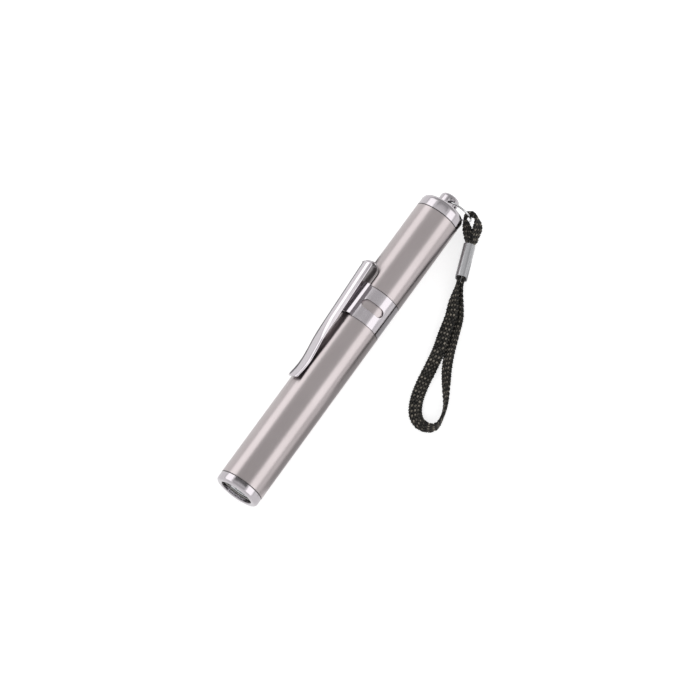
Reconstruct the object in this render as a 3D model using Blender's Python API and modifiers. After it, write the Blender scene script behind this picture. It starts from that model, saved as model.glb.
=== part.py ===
"""Slim two-cell pen light for candling eggs: stainless barrel, pocket clip, tail knob and wrist strap."""

from math import asin, cos, hypot, pi, radians, sin, sqrt

import bmesh
import bpy
from mathutils import Matrix, Vector

MM = 0.001

# Fineness of round forms.
SIDES = 36
SMALL_SIDES = 12
HOLE_SIDES = 20
EDGE_STEPS = 4
END_STEPS = 8
BAND_STEPS = 16
REFLECTOR_STEPS = 6
COIL_POINTS = 10
RING_POINTS = 48
WIRE_FINENESS = 2
RUN_SPANS = 12
ARM_SPANS = 6
MERGE_DISTANCE = 0.001 * MM

# Fits between neighbouring pieces.
SLIDE_FIT = 0.25 * MM
STACK_GAP = 0.2 * MM
SEAM_GAP = 0.05 * MM
CELL_FIT = 0.2 * MM

# Two AAA cells in an insulating liner, which set the barrel's size.
CELL_DIAMETER = 10.5 * MM
CELL_LENGTH = 44.5 * MM
CELL_NUB_DIAMETER = 3.8 * MM
CELL_NUB_HEIGHT = 0.8 * MM
CELL_EDGE = 0.5 * MM
LINER_WALL = 0.4 * MM

# Barrel: the beam points along +X, and the light lies on its side on the ground.
HEAD_ROOM = 10.2 * MM
BARREL_WALL = 0.9 * MM
BARREL_DIAMETER = CELL_DIAMETER + 2 * (CELL_FIT + LINER_WALL + SLIDE_FIT + BARREL_WALL)
BARREL_LENGTH = 2 * CELL_LENGTH + HEAD_ROOM

# Head bezel: a lip in front of the lens, and a threaded spigot inside the barrel.
BEZEL_LENGTH = 2.8 * MM
BEZEL_OPENING = 10.2 * MM
BEZEL_LIP = 1.0 * MM
BEZEL_EDGE = 0.9 * MM
BEZEL_CHAMFER = 0.2 * MM
SPIGOT_WALL = 0.5 * MM
HEAD_SPIGOT_LENGTH = 8.6 * MM
SEAL_THICKNESS = 0.2 * MM
SEAL_RECESS = 0.1 * MM

# Optics, from the lip backwards.
GASKET_THICKNESS = 0.4 * MM
GASKET_WIDTH = 0.25 * MM
LENS_THICKNESS = 1.0 * MM
REFLECTOR_DEPTH = 4.4 * MM
REFLECTOR_RIM = 0.4 * MM
REFLECTOR_NECK = 4.4 * MM
LED_BOARD_THICKNESS = 1.0 * MM
LED_SIDE = 2.8 * MM
LED_BASE = 0.6 * MM
LED_DOME = 2.2 * MM
DRIVER_GAP = 0.8 * MM
DRIVER_THICKNESS = 0.8 * MM
CHIP_SIDE = 2.6 * MM
CHIP_HEIGHT = 0.5 * MM
RETAINER_LENGTH = 1.2 * MM
RETAINER_WIDTH = 1.1 * MM
FRONT_SPRING_LENGTH = 1.7 * MM
FRONT_SPRING_DIAMETER = 5.0 * MM
FRONT_SPRING_TURNS = 1
SPRING_WIRE = 0.4 * MM

# Tail cap: skirt, dome, and a knob drilled across for the split ring.
CAP_SKIRT = 2.5 * MM
CAP_DOME = 2.4 * MM
CAP_EDGE = 2.0 * MM
CAP_EDGE_TURN = radians(50)
CAP_SPIGOT_LENGTH = 5.5 * MM
CAP_FLOOR = 1.5 * MM
KNOB_DIAMETER = 6.2 * MM
KNOB_HEIGHT = 3.3 * MM
KNOB_EDGE = 1.3 * MM
CROSS_HOLE_DIAMETER = 2.4 * MM
CROSS_HOLE_BACK = 1.1 * MM
CROSS_HOLE_TILT = radians(25)
TAIL_SPRING_DIAMETER = 7.0 * MM
SPRING_SEAT_DIAMETER = 8.0 * MM
SPRING_SEAT_THICKNESS = 0.3 * MM
TAIL_SPRING_TURNS = 3

# Split ring: one turn of wire through the cross hole, reaching out past the barrel's side.
RING_REACH = 2.2 * MM
RING_WIRE = 0.62 * MM
RING_SPLIT = 4
RING_SPLIT_AT = 250

# Pocket clip: it leans from the upright towards -Y.
CLIP_LEAN = radians(47)
BAND_WIDTH = 10.7 * MM
BAND_FRONT = 58.5 * MM
BAND_THICKNESS = 0.4 * MM
GROOVE_SIDE_GAP = 0.2 * MM
BAND_SPLIT = radians(30)
BAND_SLOT_WIDTH = 2.8 * MM
BAND_SLOT_FROM = radians(30)
BAND_SLOT_TO = radians(94)
CLIP_THICKNESS = 0.55 * MM
CLIP_WIDTH = 4.6 * MM
CLIP_BASE_WIDTH = 5.6 * MM
CLIP_BASE_REACH = 4.6 * MM
CLIP_BEND_RADIUS = 1.5 * MM
CLIP_KNEE_BACK = 51.0 * MM
CLIP_KNEE_RISE = 2.05 * MM
CLIP_CONTACT_BACK = 40.3 * MM
CLIP_CONTACT_GAP = 0.3 * MM
CLIP_TOE_BACK = 33.8 * MM
CLIP_TOE_RISE = 1.1 * MM

# Wrist strap: flat braid pinched by a ferrule, with a small eye and a hand loop.
STRAP_WIDTH = 3.9 * MM
STRAP_THICKNESS = 1.15 * MM
STRAP_EDGE = 0.35 * MM
STRAP_STEP = 2.0 * MM
FERRULE_FROM_RING = Vector((11.00, 5.98, 2.6)) * MM
FERRULE_TURN = radians(20.8)
FERRULE_LENGTH = 10.4 * MM
FERRULE_WALL = 0.3 * MM
STRAP_LANE_GAP = 0.15 * MM
STRAP_FIT = 0.25 * MM
FERRULE_CORNER = 1.1 * MM
STRAP_END_SHARE = 0.02

# The strap's middle line in millimetres from the split ring's far side, at ground level, and its lean in
# degrees: 0 stands on edge, 90 or -90 lies flat. The eye goes round the ring, and the loop is for the hand.
EYE_ROUTE = [
    (4.20, 4.61, 3.2, -9),
    (2.50, 4.16, 4.2, -22),
    (0.80, 3.51, 5.2, -26),
    (-0.60, 2.51, 5.7, -18),
    (-1.50, 1.11, 5.8, -6),
    (-1.50, -0.29, 5.7, 0),
    (-0.60, -1.34, 5.5, 0),
    (0.90, -0.94, 5.2, -3),
    (2.70, 0.71, 4.5, -16),
    (4.50, 2.21, 3.6, -9),
]
LOOP_ROUTE = [
    (18.08, 7.90, 2.65, -9),
    (20.53, 8.89, 2.75, -26),
    (22.92, 9.99, 2.9, -46),
    (25.30, 11.14, 2.9, -60),
    (27.69, 12.16, 2.75, -69),
    (32.86, 13.48, 2.35, -80),
    (37.99, 14.90, 1.95, -85),
    (43.23, 15.76, 1, -90),
    (48.59, 16.57, 0.75, -90),
    (53.50, 17.86, 0.75, -90),
    (57.10, 19.76, 0.95, -80),
    (59.00, 22.01, 1.6, -58),
    (59.40, 24.21, 2, -38),
    (58.80, 26.21, 2.1, -22),
    (57.10, 27.41, 2.1, -8),
    (54.30, 27.21, 2.1, 4),
    (50.59, 25.94, 2.1, 12),
    (46.10, 23.11, 2.1, 22),
    (41.54, 20.20, 2.1, 36),
    (36.84, 17.93, 2, 42),
    (31.85, 16.15, 1.9, 46),
    (26.93, 14.17, 1.75, 50),
    (24.64, 12.87, 1.8, 47),
    (22.34, 11.52, 1.9, 40),
    (19.96, 10.37, 2.15, 24),
    (17.55, 9.28, 2.45, 8),
]

# Radii and stations along the beam axis, worked out from the sizes above.
BARREL_RADIUS = BARREL_DIAMETER / 2
BORE_RADIUS = BARREL_RADIUS - BARREL_WALL
SPIGOT_RADIUS = BORE_RADIUS - SLIDE_FIT / 2
POCKET_RADIUS = SPIGOT_RADIUS - SPIGOT_WALL
MODULE_RADIUS = POCKET_RADIUS - SLIDE_FIT
CELL_RADIUS = CELL_DIAMETER / 2
KNOB_RADIUS = KNOB_DIAMETER / 2
AXIS_HEIGHT = BARREL_RADIUS * cos(pi / SIDES)
OVERALL_LENGTH = BEZEL_LENGTH + BARREL_LENGTH + CAP_SKIRT + CAP_DOME + KNOB_HEIGHT
FRONT = OVERALL_LENGTH / 2
BARREL_FRONT = FRONT - BEZEL_LENGTH
BARREL_REAR = BARREL_FRONT - BARREL_LENGTH
DOME_START = BARREL_REAR - CAP_SKIRT
KNOB_ROOT = DOME_START - CAP_DOME
KNOB_END = KNOB_ROOT - KNOB_HEIGHT
SEAM = SEAL_THICKNESS + 2 * SEAM_GAP

LIP_REAR = FRONT - BEZEL_LIP
GASKET_FRONT = LIP_REAR - STACK_GAP
LENS_FRONT = GASKET_FRONT - GASKET_THICKNESS - STACK_GAP
REFLECTOR_FRONT = LENS_FRONT - LENS_THICKNESS - STACK_GAP
LED_BOARD_FRONT = REFLECTOR_FRONT - REFLECTOR_DEPTH - STACK_GAP
DRIVER_FRONT = LED_BOARD_FRONT - LED_BOARD_THICKNESS - DRIVER_GAP
DRIVER_REAR = DRIVER_FRONT - DRIVER_THICKNESS
RETAINER_FRONT = DRIVER_REAR - STACK_GAP
HEAD_SPIGOT_REAR = BARREL_FRONT - HEAD_SPIGOT_LENGTH
FRONT_CELL_TIP = DRIVER_REAR - STACK_GAP - FRONT_SPRING_LENGTH - STACK_GAP
REAR_CELL_TIP = FRONT_CELL_TIP - CELL_LENGTH - STACK_GAP
CELLS_REAR = REAR_CELL_TIP - CELL_LENGTH
CAP_SPIGOT_FRONT = BARREL_REAR - SEAM + CAP_SPIGOT_LENGTH
CAP_INNER = KNOB_ROOT + CAP_FLOOR

CLIP_INNER_RADIUS = BARREL_RADIUS + SLIDE_FIT / 2
CLIP_OUTER_RADIUS = CLIP_INNER_RADIUS + CLIP_THICKNESS
BAND_OUTER_RADIUS = BARREL_RADIUS
BAND_INNER_RADIUS = BAND_OUTER_RADIUS - BAND_THICKNESS
GROOVE_RADIUS = BAND_INNER_RADIUS - SLIDE_FIT / 2
JOGGLE_INNER_RADIUS = CLIP_OUTER_RADIUS + STACK_GAP
JOGGLE_OUTER_RADIUS = JOGGLE_INNER_RADIUS + BAND_THICKNESS
CLIP_BASE_HALF_ANGLE = asin(CLIP_BASE_WIDTH / 2 / CLIP_OUTER_RADIUS)
JOGGLE_HALF_ANGLE = CLIP_BASE_HALF_ANGLE + SLIDE_FIT / CLIP_INNER_RADIUS
BAND_HEAD_EDGE = BARREL_FRONT - BAND_FRONT
BAND_TAIL_EDGE = BAND_HEAD_EDGE - BAND_WIDTH
CLIP_MIDDLE_RADIUS = CLIP_INNER_RADIUS + CLIP_THICKNESS / 2
CLIP_BEND_AT = BAND_TAIL_EDGE - CLIP_BASE_REACH

RING_PLANE = KNOB_ROOT - CROSS_HOLE_BACK
RING_MEAN_RADIUS = (BARREL_RADIUS + RING_REACH) / 2
RING_SAG = RING_MEAN_RADIUS - sqrt(RING_MEAN_RADIUS**2 - KNOB_RADIUS**2)
RING_UP = Vector((0.0, sin(CROSS_HOLE_TILT), cos(CROSS_HOLE_TILT)))
RING_OUT = Vector((0.0, cos(CROSS_HOLE_TILT), -sin(CROSS_HOLE_TILT)))
RING_CENTRE = Vector((RING_PLANE, 0.0, AXIS_HEIGHT)) + RING_OUT * (RING_MEAN_RADIUS - RING_SAG / 2)
RING_FAR_SIDE = Vector((RING_PLANE, (RING_CENTRE + RING_OUT * RING_MEAN_RADIUS).y, 0.0))
FERRULE_CENTRE = RING_FAR_SIDE + FERRULE_FROM_RING

# Finishes: linear colour, metallic and roughness.
STAINLESS_SATIN = ("satin_stainless", (0.38, 0.35, 0.34), 1.0, 0.35)
STAINLESS_POLISHED = ("polished_stainless", (0.62, 0.61, 0.60), 1.0, 0.08)
CHROME_MIRROR = ("vacuum_chrome", (0.80, 0.80, 0.82), 1.0, 0.04)
CLEAR_LENS = ("clear_lens", (0.90, 0.93, 0.95), 0.0, 0.03)
BLACK_RUBBER = ("black_rubber", (0.02, 0.02, 0.02), 0.0, 0.6)
LED_PHOSPHOR = ("led_phosphor", (0.85, 0.65, 0.08), 0.0, 0.4)
WHITE_BOARD = ("white_board", (0.75, 0.75, 0.72), 0.0, 0.5)
GREEN_BOARD = ("green_board", (0.02, 0.12, 0.05), 0.0, 0.5)
CHIP_EPOXY = ("chip_epoxy", (0.03, 0.03, 0.03), 0.0, 0.5)
BRASS = ("brass", (0.60, 0.42, 0.14), 1.0, 0.25)
SPRING_STEEL = ("spring_steel", (0.50, 0.50, 0.50), 1.0, 0.25)
LINER_PLASTIC = ("liner_plastic", (0.55, 0.55, 0.52), 0.0, 0.6)
CELL_WRAP = ("cell_wrap", (0.05, 0.10, 0.22), 0.0, 0.35)
FERRULE_ALUMINIUM = ("ferrule_aluminium", (0.55, 0.55, 0.55), 1.0, 0.3)
BLACK_BRAID = ("black_braid", (0.015, 0.015, 0.015), 0.0, 0.8)


def clear_scene():
    for item in list(bpy.data.objects):
        bpy.data.objects.remove(item, do_unlink=True)


def make_collection(name):
    collection = bpy.data.collections.new(name)
    bpy.context.scene.collection.children.link(collection)
    return collection


clear_scene()
parts = make_collection("egg_candler_flashlight")
cutters = make_collection("cutters")


def add_axis(name, matrix):
    """An empty that pieces are placed by."""
    empty = bpy.data.objects.new(name, None)
    empty.matrix_world = matrix
    parts.objects.link(empty)
    return empty


def finish(item, look):
    """Give a piece its own Principled material."""
    name, colour, metallic, roughness = look
    material = bpy.data.materials.new(f"{item.name}_{name}")
    material.use_nodes = True
    shader = material.node_tree.nodes["Principled BSDF"]
    shader.inputs["Base Color"].default_value = (*colour, 1.0)
    shader.inputs["Metallic"].default_value = metallic
    shader.inputs["Roughness"].default_value = roughness
    item.data.materials.append(material)


def place(item, collection, axis=None):
    collection.objects.link(item)
    if axis:
        item.parent = axis
    return item


def make_cutter(item):
    item.hide_render = True
    item.display_type = "WIRE"
    return item


def cut(item, cutter):
    boolean = item.modifiers.new(f"cut_{cutter.name}", "BOOLEAN")
    boolean.operation = "DIFFERENCE"
    boolean.object = cutter


def join(item, other):
    boolean = item.modifiers.new(f"join_{other.name}", "BOOLEAN")
    boolean.operation = "UNION"
    boolean.object = other


def turned(name, profile, look, axis, closed=False, sides=SIDES):
    """A lathe-turned piece: profile is (station, radius), down the outer side from the front to the rear."""
    mesh = bpy.data.meshes.new(name)
    edges = [(i, i + 1) for i in range(len(profile) - 1)]
    if closed:
        edges.append((len(profile) - 1, 0))
    mesh.from_pydata([(radius, 0.0, station) for station, radius in profile], edges, [])
    item = place(bpy.data.objects.new(name, mesh), parts, axis)
    screw = item.modifiers.new("turn", "SCREW")
    screw.axis = "Z"
    screw.steps = sides
    screw.render_steps = sides
    screw.use_merge_vertices = True
    screw.merge_threshold = MERGE_DISTANCE
    screw.use_smooth_shade = True
    finish(item, look)
    return item


def ring(name, front, rear, outer, inner, look, axis):
    """A plain turned ring."""
    profile = [(front, outer), (rear, outer), (rear, inner), (front, inner)]
    return turned(name, profile, look, axis, closed=True)


def disc(name, front, rear, radius, look, axis):
    """A plain turned disc."""
    return turned(name, [(front, 0.0), (front, radius), (rear, radius), (rear, 0.0)], look, axis)


def arc(centre, radius, start, stop, count):
    """Points on an arc, with angles from the first coordinate's axis."""
    turns = [start + (stop - start) * i / count for i in range(count + 1)]
    return [(centre[0] + radius * cos(t), centre[1] + radius * sin(t)) for t in turns]


def smooth_run(points, spans):
    """A Catmull-Rom curve through points of any dimension, each span in equal steps."""
    first = [2 * a - b for a, b in zip(points[0], points[1])]
    last = [2 * a - b for a, b in zip(points[-1], points[-2])]
    line = [first, *points, last]
    run = []
    for p0, p1, p2, p3 in zip(line, line[1:], line[2:], line[3:]):
        for i in range(spans):
            t = i / spans
            run.append(
                tuple(
                    b + t * (c - a + t * (2 * a - 5 * b + 4 * c - d + t * (3 * (b - c) + d - a))) / 2
                    for a, b, c, d in zip(p0, p1, p2, p3)
                )
            )
    run.append(tuple(points[-1]))
    return run


def solid_from_curve(name, curve, matrix, collection):
    """Make a curve into a closed mesh object in the same place."""
    source = bpy.data.objects.new(f"{name}_curve", curve)
    source.matrix_world = matrix
    cutters.objects.link(source)
    bpy.context.view_layer.update()
    evaluated = source.evaluated_get(bpy.context.evaluated_depsgraph_get())
    mesh = bpy.data.meshes.new_from_object(evaluated)
    bpy.data.objects.remove(source)
    shape = bmesh.new()
    shape.from_mesh(mesh)
    bmesh.ops.remove_doubles(shape, verts=shape.verts, dist=MERGE_DISTANCE)
    bmesh.ops.recalc_face_normals(shape, faces=shape.faces)
    shape.to_mesh(mesh)
    shape.free()
    mesh.name = name
    item = bpy.data.objects.new(name, mesh)
    item.matrix_world = matrix
    return place(item, collection)


def plate(name, outlines, thickness, matrix, collection):
    """A flat outline, with any holes as further outlines, given a thickness about its own plane."""
    curve = bpy.data.curves.new(name, "CURVE")
    curve.dimensions = "2D"
    curve.fill_mode = "BOTH"
    curve.extrude = thickness / 2
    for outline in outlines:
        spline = curve.splines.new("POLY")
        spline.points.add(len(outline) - 1)
        for point, (x, y) in zip(spline.points, outline):
            point.co = (x, y, 0.0, 1.0)
        spline.use_cyclic_u = True
    return solid_from_curve(name, curve, matrix, collection)


def wire(name, points, diameter, look, resolution=1):
    """A round wire through points, as a curve with filled caps."""
    curve = bpy.data.curves.new(name, "CURVE")
    curve.dimensions = "3D"
    curve.bevel_depth = diameter / 2
    curve.bevel_resolution = resolution
    curve.use_fill_caps = True
    spline = curve.splines.new("POLY")
    spline.points.add(len(points) - 1)
    for point, position in zip(spline.points, points):
        point.co = (*position, 1.0)
    item = place(bpy.data.objects.new(name, curve), parts)
    finish(item, look)
    return item


def coil(front, rear, diameter, turns):
    """A compression spring's middle line along the beam axis, with a flat turn at each end."""
    count = (turns + 2) * COIL_POINTS
    points = []
    for i in range(count + 1):
        turn = i / COIL_POINTS
        share = min(max((turn - 1) / turns, 0.0), 1.0)
        angle = 2 * pi * turn
        station = front + (rear - front) * share
        points.append((station, diameter / 2 * cos(angle), AXIS_HEIGHT + diameter / 2 * sin(angle)))
    return points


# The beam axis runs level at the barrel's height, turned so that a flat of the barrel lies on the ground.
LEVEL = Matrix.Translation((0, 0, AXIS_HEIGHT)) @ Matrix.Rotation(pi / 2, 4, "Y")
BEAM = LEVEL @ Matrix.Rotation(pi / SIDES, 4, "Z")
beam_axis = add_axis("beam_axis", BEAM)
cap_axis = add_axis("tail_cap_axis", BEAM)

# The clip's planes: across the beam for the band and base, along it for the bent strip.
CLIP_OUT = Vector((0, -sin(CLIP_LEAN), cos(CLIP_LEAN)))
CLIP_SIDE = CLIP_OUT.cross(Vector((1, 0, 0)))


def clip_plane(x_axis, y_axis, origin):
    frame = Matrix((x_axis, y_axis, x_axis.cross(y_axis))).transposed().to_4x4()
    return Matrix.Translation(origin) @ frame


def barrel():
    """A plain tube with a shallow groove that the clip band snaps into."""
    groove_front = BAND_HEAD_EDGE + GROOVE_SIDE_GAP
    groove_rear = BAND_TAIL_EDGE - GROOVE_SIDE_GAP
    profile = [(BARREL_FRONT, BARREL_RADIUS), (groove_front, BARREL_RADIUS), (groove_front, GROOVE_RADIUS)]
    profile += [(groove_rear, GROOVE_RADIUS), (groove_rear, BARREL_RADIUS), (BARREL_REAR, BARREL_RADIUS)]
    profile += [(BARREL_REAR, BORE_RADIUS), (BARREL_FRONT, BORE_RADIUS)]
    turned("barrel_tube", profile, STAINLESS_SATIN, beam_axis, closed=True)


def head():
    """Bezel with its spigot, the seal behind its flange, and the optics stacked in its pocket."""
    opening = BEZEL_OPENING / 2
    flange_rear = BARREL_FRONT + SEAM
    edge = arc((FRONT - BEZEL_EDGE, BARREL_RADIUS - BEZEL_EDGE), BEZEL_EDGE, 0, pi / 2, EDGE_STEPS)
    profile = [(FRONT, opening + BEZEL_CHAMFER)]
    profile += edge
    profile += [(flange_rear, BARREL_RADIUS), (flange_rear, SPIGOT_RADIUS)]
    profile += [(HEAD_SPIGOT_REAR, SPIGOT_RADIUS), (HEAD_SPIGOT_REAR, POCKET_RADIUS)]
    profile += [(LIP_REAR, POCKET_RADIUS), (LIP_REAR, opening), (FRONT - BEZEL_CHAMFER, opening)]
    turned("head_bezel", profile, STAINLESS_POLISHED, beam_axis, closed=True)
    seal(BARREL_FRONT + SEAM_GAP, "head_seal", beam_axis)

    ring(
        "lens_gasket",
        GASKET_FRONT,
        GASKET_FRONT - GASKET_THICKNESS,
        MODULE_RADIUS,
        MODULE_RADIUS - GASKET_WIDTH,
        BLACK_RUBBER,
        beam_axis,
    )
    disc("lens", LENS_FRONT, LENS_FRONT - LENS_THICKNESS, MODULE_RADIUS, CLEAR_LENS, beam_axis)
    reflector()
    led()
    driver()


def seal(rear, name, axis):
    """A flat rubber ring that fills a seam between the barrel and an end piece."""
    outer = BARREL_RADIUS - SEAL_RECESS
    inner = SPIGOT_RADIUS + SEAM_GAP
    return ring(name, rear + SEAL_THICKNESS, rear, outer, inner, BLACK_RUBBER, axis)


def reflector():
    """A parabolic cup whose rim meets the lens and whose neck stands on the LED board."""
    neck = REFLECTOR_NECK / 2
    mouth = MODULE_RADIUS - REFLECTOR_RIM
    shell = REFLECTOR_RIM
    depths = [REFLECTOR_DEPTH * i / REFLECTOR_STEPS for i in range(REFLECTOR_STEPS + 1)]

    def bowl(depth):
        return neck + (mouth - neck) * sqrt(1 - depth / REFLECTOR_DEPTH)

    outside = [(REFLECTOR_FRONT, MODULE_RADIUS), (REFLECTOR_FRONT - shell, MODULE_RADIUS)]
    outside += [(REFLECTOR_FRONT - depth, bowl(depth) + shell) for depth in depths[1:]]
    inside = [(REFLECTOR_FRONT - depth, bowl(depth)) for depth in reversed(depths)]
    turned("reflector", outside + inside, CHROME_MIRROR, beam_axis, closed=True)

def led():
    """A square emitter with a round dome on a metal-core board."""
    rear = LED_BOARD_FRONT + STACK_GAP / 2
    board_rear = LED_BOARD_FRONT - LED_BOARD_THICKNESS
    disc("led_board", LED_BOARD_FRONT, board_rear, MODULE_RADIUS, WHITE_BOARD, beam_axis)
    block("led_emitter", (LED_SIDE, LED_SIDE, LED_BASE), rear, LED_PHOSPHOR)
    dome_base = rear + LED_BASE / 2
    crown = rear + LED_BASE
    radius = LED_DOME / 2
    profile = [(crown + station, r) for r, station in arc((0, 0), radius, pi / 2, 0, EDGE_STEPS)]
    profile[0] = (crown + radius, 0.0)
    profile += [(dome_base, radius), (dome_base, 0.0)]
    dome = turned("led_dome", profile, LED_PHOSPHOR, beam_axis, sides=SMALL_SIDES)
    cutters.objects.link(dome)
    parts.objects.unlink(dome)
    join(bpy.data.objects["led_emitter"], make_cutter(dome))


def block(name, size, rear, look):
    """A small rectangular piece that stands forward from a station on the beam axis."""
    shape = bmesh.new()
    bmesh.ops.create_cube(shape, size=1.0)
    bmesh.ops.scale(shape, vec=size, verts=shape.verts)
    bmesh.ops.translate(shape, vec=(0, 0, rear + size[2] / 2), verts=shape.verts)
    mesh = bpy.data.meshes.new(name)
    shape.to_mesh(mesh)
    shape.free()
    item = place(bpy.data.objects.new(name, mesh), parts, beam_axis)
    finish(item, look)
    return item


def driver():
    """Driver board with its chip, the ring that holds the stack, and the spring to the front cell."""
    disc("driver_board", DRIVER_FRONT, DRIVER_REAR, MODULE_RADIUS, GREEN_BOARD, beam_axis)
    block("driver_chip", (CHIP_SIDE, CHIP_SIDE, CHIP_HEIGHT), DRIVER_FRONT + SEAM_GAP, CHIP_EPOXY)
    ring(
        "board_retainer",
        RETAINER_FRONT,
        RETAINER_FRONT - RETAINER_LENGTH,
        MODULE_RADIUS,
        MODULE_RADIUS - RETAINER_WIDTH,
        BRASS,
        beam_axis,
    )
    front = DRIVER_REAR - STACK_GAP - SPRING_WIRE / 2
    rear = FRONT_CELL_TIP + STACK_GAP + SPRING_WIRE / 2
    points = coil(front, rear, FRONT_SPRING_DIAMETER, FRONT_SPRING_TURNS)
    wire("front_contact_spring", points, SPRING_WIRE, SPRING_STEEL)


def cells():
    """Two cells nose to tail in their liner, which stops at the spigots."""
    for name, tip in (("battery_front", FRONT_CELL_TIP), ("battery_rear", REAR_CELL_TIP)):
        shoulder = tip - CELL_NUB_HEIGHT
        rear = tip - CELL_LENGTH
        nub = CELL_NUB_DIAMETER / 2
        profile = [(tip, 0.0), (tip, nub), (shoulder, nub), (shoulder, CELL_RADIUS - CELL_EDGE)]
        profile += [(shoulder - CELL_EDGE, CELL_RADIUS), (rear + CELL_EDGE, CELL_RADIUS)]
        profile += [(rear, CELL_RADIUS - CELL_EDGE), (rear, 0.0)]
        turned(name, profile, CELL_WRAP, beam_axis)
    outer = BORE_RADIUS - SLIDE_FIT
    liner_front = HEAD_SPIGOT_REAR - STACK_GAP
    liner_rear = CAP_SPIGOT_FRONT + STACK_GAP
    ring("battery_liner", liner_front, liner_rear, outer, outer - LINER_WALL, LINER_PLASTIC, beam_axis)


def tail():
    """Cap with its spigot and drilled knob, the seal in its seam, and the spring behind the rear cell."""
    flange_front = BARREL_REAR - SEAM
    spigot_bore = CELL_RADIUS + SLIDE_FIT
    seat = SPRING_SEAT_DIAMETER / 2 + SLIDE_FIT
    profile = [(CAP_SPIGOT_FRONT, SPIGOT_RADIUS), (flange_front, SPIGOT_RADIUS)]
    profile += [(flange_front, BARREL_RADIUS)]
    edge_centre = (DOME_START, BARREL_RADIUS - CAP_EDGE)
    profile += arc(edge_centre, CAP_EDGE, pi / 2, pi / 2 + CAP_EDGE_TURN, EDGE_STEPS)
    profile += [(KNOB_ROOT, KNOB_RADIUS)]
    profile += arc((KNOB_END + KNOB_EDGE, KNOB_RADIUS - KNOB_EDGE), KNOB_EDGE, pi / 2, pi, EDGE_STEPS)
    profile += [(KNOB_END, 0.0), (CAP_INNER, 0.0), (CAP_INNER, seat), (DOME_START, seat)]
    profile += [(DOME_START + SLIDE_FIT, spigot_bore), (CAP_SPIGOT_FRONT, spigot_bore)]
    cap = turned("tail_cap", profile, STAINLESS_POLISHED, cap_axis, closed=True)
    bpy.ops.mesh.primitive_cylinder_add(
        vertices=HOLE_SIDES,
        radius=CROSS_HOLE_DIAMETER / 2,
        depth=2 * BARREL_DIAMETER,
        location=(RING_PLANE, 0, AXIS_HEIGHT),
        rotation=(-CROSS_HOLE_TILT, 0, 0),
    )
    drill = bpy.context.object
    drill.name = "cross_hole"
    bpy.context.collection.objects.unlink(drill)
    cutters.objects.link(drill)
    cut(cap, make_cutter(drill))
    seal(BARREL_REAR - SEAM_GAP - SEAL_THICKNESS, "tail_seal", cap_axis)
    seat_front = CAP_INNER + STACK_GAP + SPRING_SEAT_THICKNESS
    disc("tail_spring_seat", seat_front, CAP_INNER + STACK_GAP, SPRING_SEAT_DIAMETER / 2, BRASS, cap_axis)
    front = CELLS_REAR - STACK_GAP - SPRING_WIRE / 2
    rear = seat_front + STACK_GAP + SPRING_WIRE / 2
    points = coil(front, rear, TAIL_SPRING_DIAMETER, TAIL_SPRING_TURNS)
    wire("tail_spring", points, SPRING_WIRE, SPRING_STEEL)


def split_ring():
    """One turn of wire through the knob's cross hole, split where its ends meet."""
    points = []
    for i in range(RING_POINTS + 1):
        turn = radians(RING_SPLIT_AT + RING_SPLIT / 2 + (360 - RING_SPLIT) * i / RING_POINTS)
        points.append(RING_CENTRE + RING_MEAN_RADIUS * (RING_OUT * cos(turn) + RING_UP * sin(turn)))
    wire("split_ring", points, RING_WIRE, SPRING_STEEL, WIRE_FINENESS)


def band_outline():
    """The band's section: a C round the barrel, raised where it passes over the clip's base."""
    end = pi - BAND_SPLIT / 2
    step_out = JOGGLE_HALF_ANGLE + BAND_THICKNESS / BAND_INNER_RADIUS
    up = pi / 2
    outer = arc((0, 0), BAND_OUTER_RADIUS, up - end, up - step_out, BAND_STEPS)
    outer += arc((0, 0), JOGGLE_OUTER_RADIUS, up - step_out, up + step_out, END_STEPS)
    outer += arc((0, 0), BAND_OUTER_RADIUS, up + step_out, up + end, BAND_STEPS)
    inner = arc((0, 0), BAND_INNER_RADIUS, up + end, up + JOGGLE_HALF_ANGLE, BAND_STEPS)
    inner += arc((0, 0), JOGGLE_INNER_RADIUS, up + JOGGLE_HALF_ANGLE, up - JOGGLE_HALF_ANGLE, END_STEPS)
    inner += arc((0, 0), BAND_INNER_RADIUS, up - JOGGLE_HALF_ANGLE, up - end, BAND_STEPS)
    return outer + inner


def clip_band():
    """The sprung band that holds the clip, with its obround slot."""
    middle = BAND_HEAD_EDGE - BAND_WIDTH / 2
    plane = clip_plane(CLIP_SIDE, CLIP_OUT, (middle, 0, AXIS_HEIGHT))
    band = plate("clip_band", [band_outline()], BAND_WIDTH, plane, parts)
    finish(band, STAINLESS_POLISHED)
    towards = (BAND_SLOT_FROM + BAND_SLOT_TO) / 2
    half = BAND_OUTER_RADIUS * sin((BAND_SLOT_TO - BAND_SLOT_FROM) / 2) - BAND_SLOT_WIDTH / 2
    radius = BAND_SLOT_WIDTH / 2
    outline = arc((half, 0), radius, -pi / 2, pi / 2, END_STEPS)
    outline += arc((-half, 0), radius, pi / 2, 3 * pi / 2, END_STEPS)
    out = CLIP_OUT * cos(towards) + CLIP_SIDE * sin(towards)
    across = out.cross(Vector((1, 0, 0)))
    reach = BARREL_RADIUS
    centre = Vector((middle, 0, AXIS_HEIGHT)) + out * (BAND_OUTER_RADIUS - reach / 4)
    slot = plate("band_slot", [outline], reach, clip_plane(across, Vector((1, 0, 0)), centre), cutters)
    cut(band, make_cutter(slot))


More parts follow.
